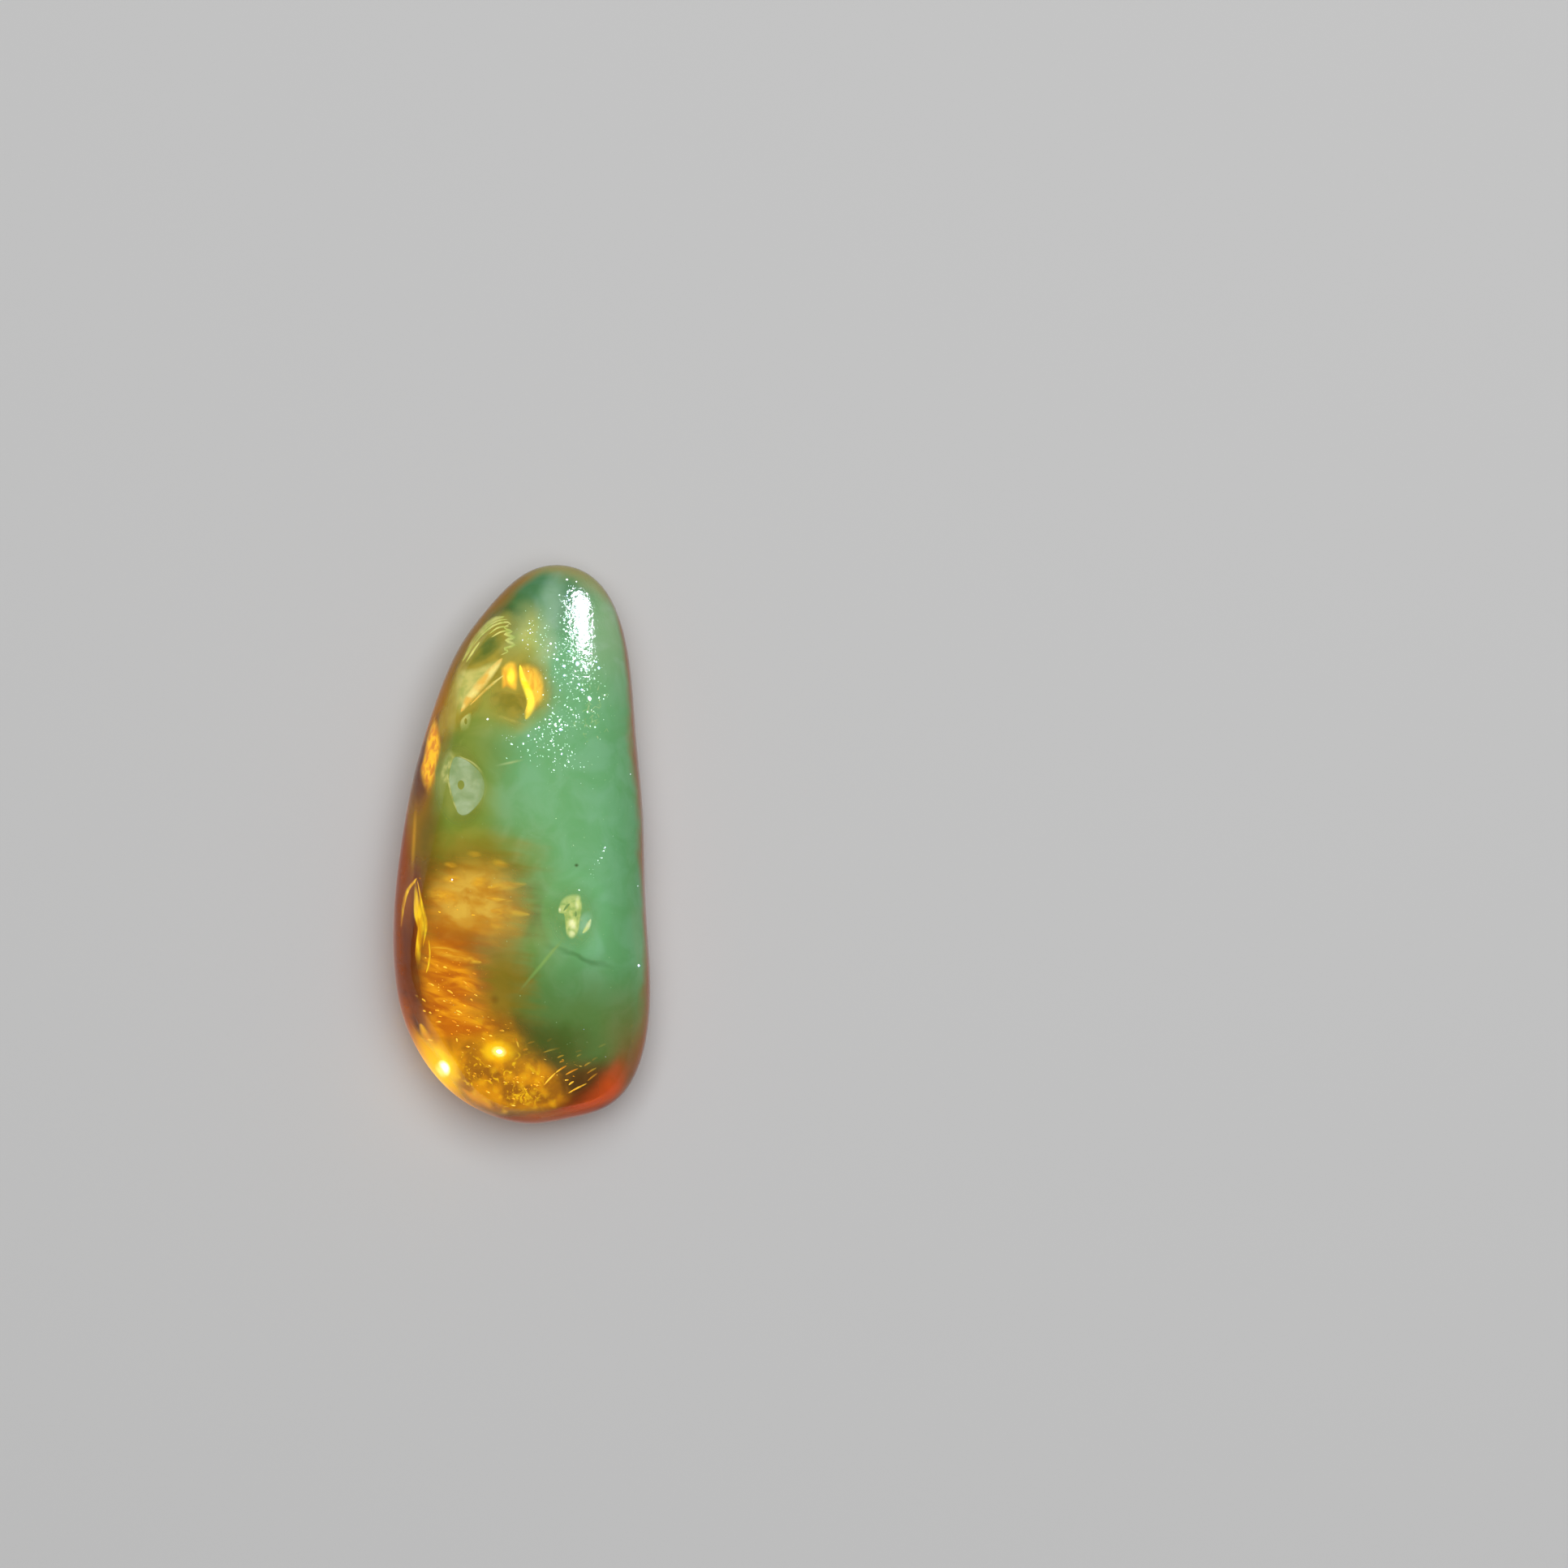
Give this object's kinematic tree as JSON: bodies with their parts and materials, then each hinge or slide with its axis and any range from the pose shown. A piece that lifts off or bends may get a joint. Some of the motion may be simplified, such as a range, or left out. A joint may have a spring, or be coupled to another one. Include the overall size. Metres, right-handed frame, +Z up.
{
  "type": "polished amber pebble",
  "caption": "Teardrop pebble of clear, green-glowing amber with a ground flat underside, polished all over.",
  "frame": {"origin": "middle of the pebble's outer box in X and Y, on the flat underside that it rests on", "axes": "+Y along the long axis towards the narrow tip, +X across, +Z up through the crown"},
  "size_m": [0.0184, 0.04, 0.0104],
  "materials": {
    "amber": "clear honey amber with a milky green glow, polished, with fine pits and scratches"
  },
  "bodies": {
    "root": {"amber": "amber"}
  },
  "joints": []
}
